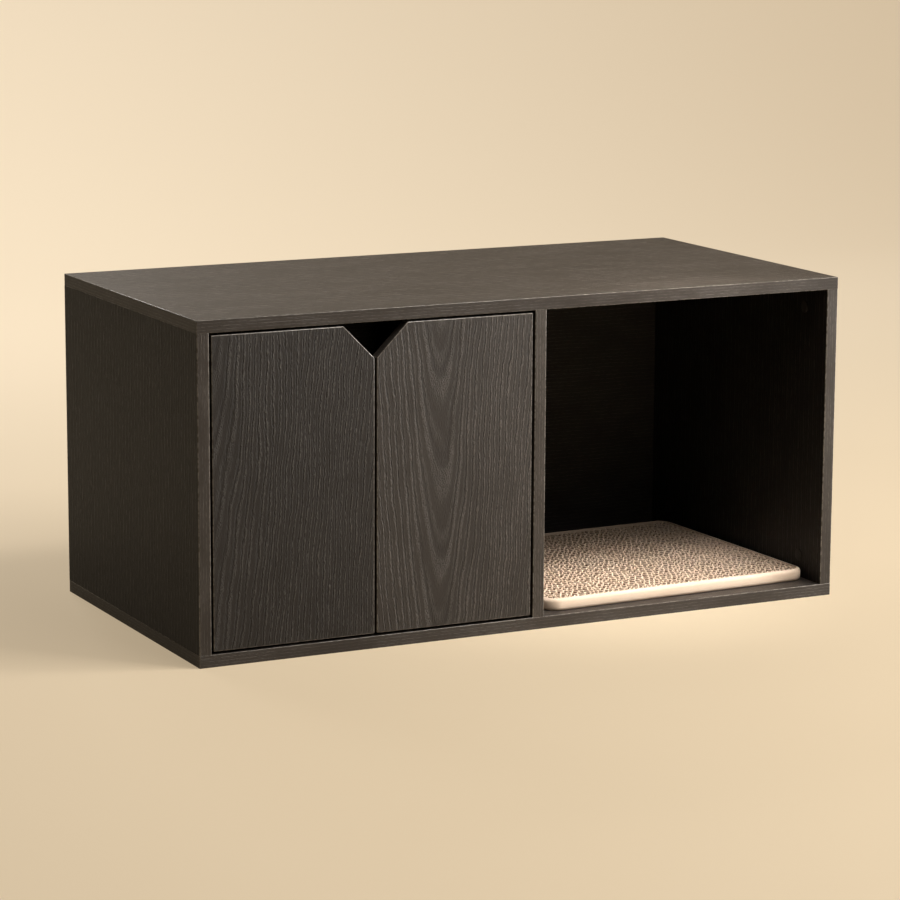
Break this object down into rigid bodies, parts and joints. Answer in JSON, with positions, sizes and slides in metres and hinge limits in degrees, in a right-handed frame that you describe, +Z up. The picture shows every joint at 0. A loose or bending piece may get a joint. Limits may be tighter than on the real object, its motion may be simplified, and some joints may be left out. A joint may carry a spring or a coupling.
{
  "type": "cat litter box cabinet",
  "caption": "Low dark wood-grained cabinet: a litter compartment behind two inset doors with a V finger notch, and an open bay with a cardboard scratching pad.",
  "frame": {"origin": "middle of the cabinet's footprint, on the surface it stands on", "axes": "+X to the right along the front, +Y from the front to the back, +Z up"},
  "size_m": [1.04, 0.52, 0.49],
  "materials": {
    "dark_wood_board": "dark wood-grained melamine board, embossed, satin",
    "dark_back_board": "dark wood-grained hardboard, matt",
    "dark_edge_band": "wood-grained edge band, satin",
    "die_cast_zinc": "die-cast zinc, dull",
    "zinc_plated_steel": "zinc-plated steel",
    "nickel_plated_steel": "nickel-plated pressed steel",
    "dark_cap_plastic": "dark brown plastic cap",
    "beech_dowel": "plain beech",
    "catch_case_plastic": "dark brown plastic",
    "ferrite": "sintered ferrite",
    "fluted_cardboard": "corrugated cardboard, end-on flutes",
    "pad_rim_board": "smooth pale board band"
  },
  "bodies": {
    "carcass": {"top_panel": "dark_wood_board", "bottom_panel": "dark_wood_board", "left_side_panel": "dark_wood_board", "right_side_panel": "dark_wood_board", "divider_panel": "dark_wood_board", "back_panel": "dark_back_board", "top_edge_bands": "dark_edge_band", "bottom_edge_bands": "dark_edge_band", "left_side_edge_band": "dark_edge_band", "right_side_edge_band": "dark_edge_band", "divider_edge_band": "dark_edge_band", "entrance_edge_band": "dark_edge_band", "cam_housings": "die_cast_zinc", "cam_bolts": "zinc_plated_steel", "cam_cover_caps": "dark_cap_plastic", "joint_dowels": "beech_dowel", "hinge_mounting_plates": "nickel_plated_steel", "hinge_arms": "nickel_plated_steel", "hinge_plate_screws": "zinc_plated_steel", "hinge_arm_screws": "zinc_plated_steel", "catch_housings": "catch_case_plastic", "catch_magnets": "ferrite", "catch_pole_plates": "zinc_plated_steel", "catch_screws": "zinc_plated_steel"},
    "left_door": {"left_door_panel": "dark_wood_board", "left_door_edge_bands": "dark_edge_band", "left_hinge_cups": "nickel_plated_steel", "left_hinge_pins": "zinc_plated_steel", "left_hinge_cup_screws": "zinc_plated_steel", "left_strike_plate": "zinc_plated_steel", "left_strike_screw": "zinc_plated_steel"},
    "right_door": {"right_door_panel": "dark_wood_board", "right_door_edge_bands": "dark_edge_band", "right_hinge_cups": "nickel_plated_steel", "right_hinge_pins": "zinc_plated_steel", "right_hinge_cup_screws": "zinc_plated_steel", "right_strike_plate": "zinc_plated_steel", "right_strike_screw": "zinc_plated_steel"},
    "scratch_pad": {"scratch_pad_core": "fluted_cardboard", "scratch_pad_rim": "pad_rim_board"}
  },
  "joints": [
    {"name": "left_door_hinge", "type": "hinge", "parent": "carcass", "child": "left_door", "pos_m": [-0.48, -0.248, 0.245], "axis": [0, 0, -1], "range_deg": [0, 95]},
    {"name": "right_door_hinge", "type": "hinge", "parent": "carcass", "child": "right_door", "pos_m": [-0.017, -0.248, 0.245], "axis": [0, 0, 1], "range_deg": [0, 95]},
    {"name": "scratch_pad_slide", "type": "slide", "parent": "carcass", "child": "scratch_pad", "axis": [0, -1, 0], "range_m": [0, 0.45]}
  ]
}
